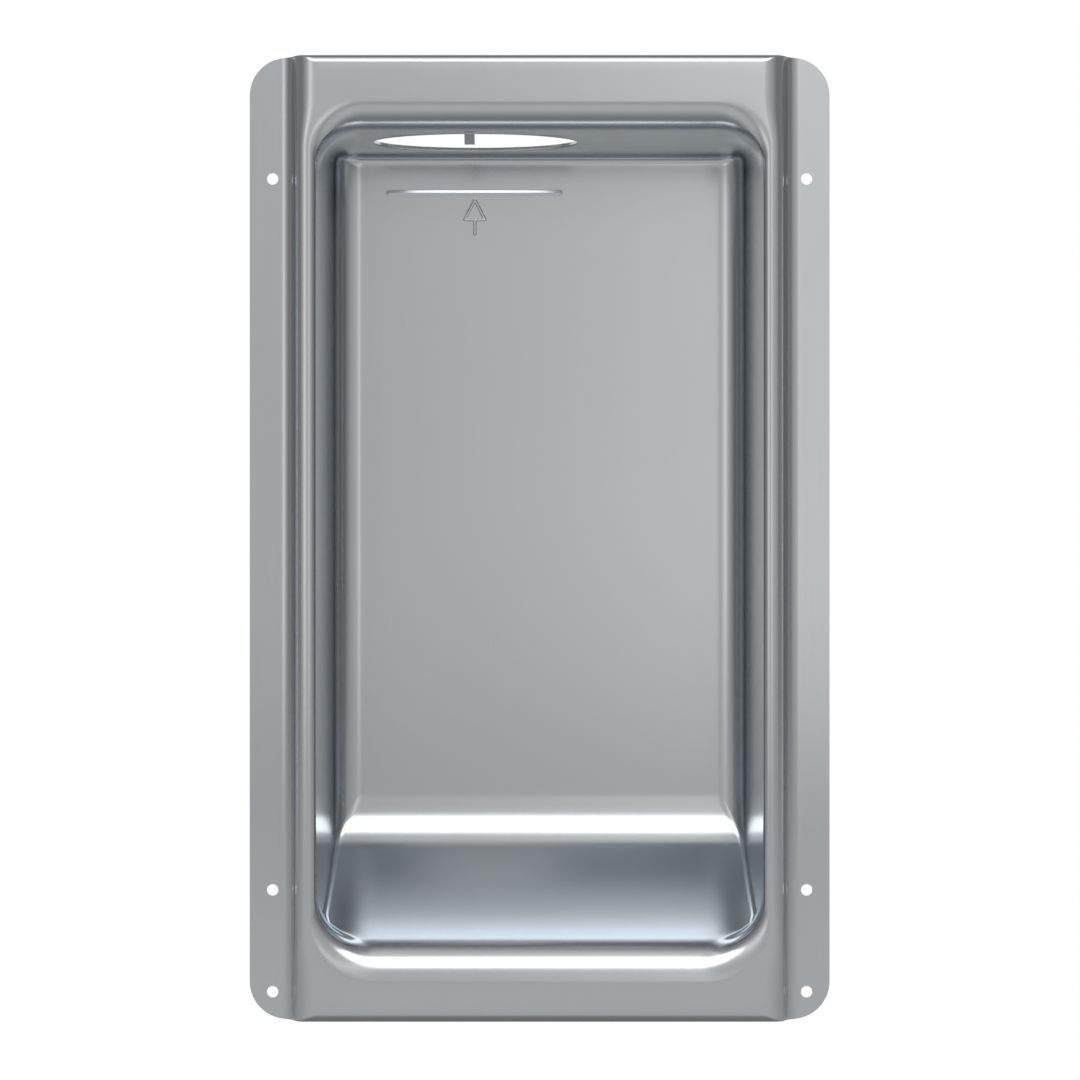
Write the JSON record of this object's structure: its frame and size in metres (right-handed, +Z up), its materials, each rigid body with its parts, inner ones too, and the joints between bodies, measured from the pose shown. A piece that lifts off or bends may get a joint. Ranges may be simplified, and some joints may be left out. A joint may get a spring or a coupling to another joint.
{
  "type": "dryer vent box",
  "caption": "Recessed wall box drawn from sheet steel, with side flanges, a sloped floor and an oval port in its top wall for a clothes dryer's exhaust duct",
  "frame": {"origin": "middle of the four outer screw holes, in the plane of the flanges' backs", "axes": "+X across the wall to the viewer's right, +Y into the wall, +Z up; the open front faces -Y"},
  "size_m": [0.3238, 0.1, 0.5367],
  "materials": {
    "coated_steel": "satin aluminised sheet"
  },
  "bodies": {
    "root": {"vent_box": "coated_steel"}
  },
  "joints": []
}
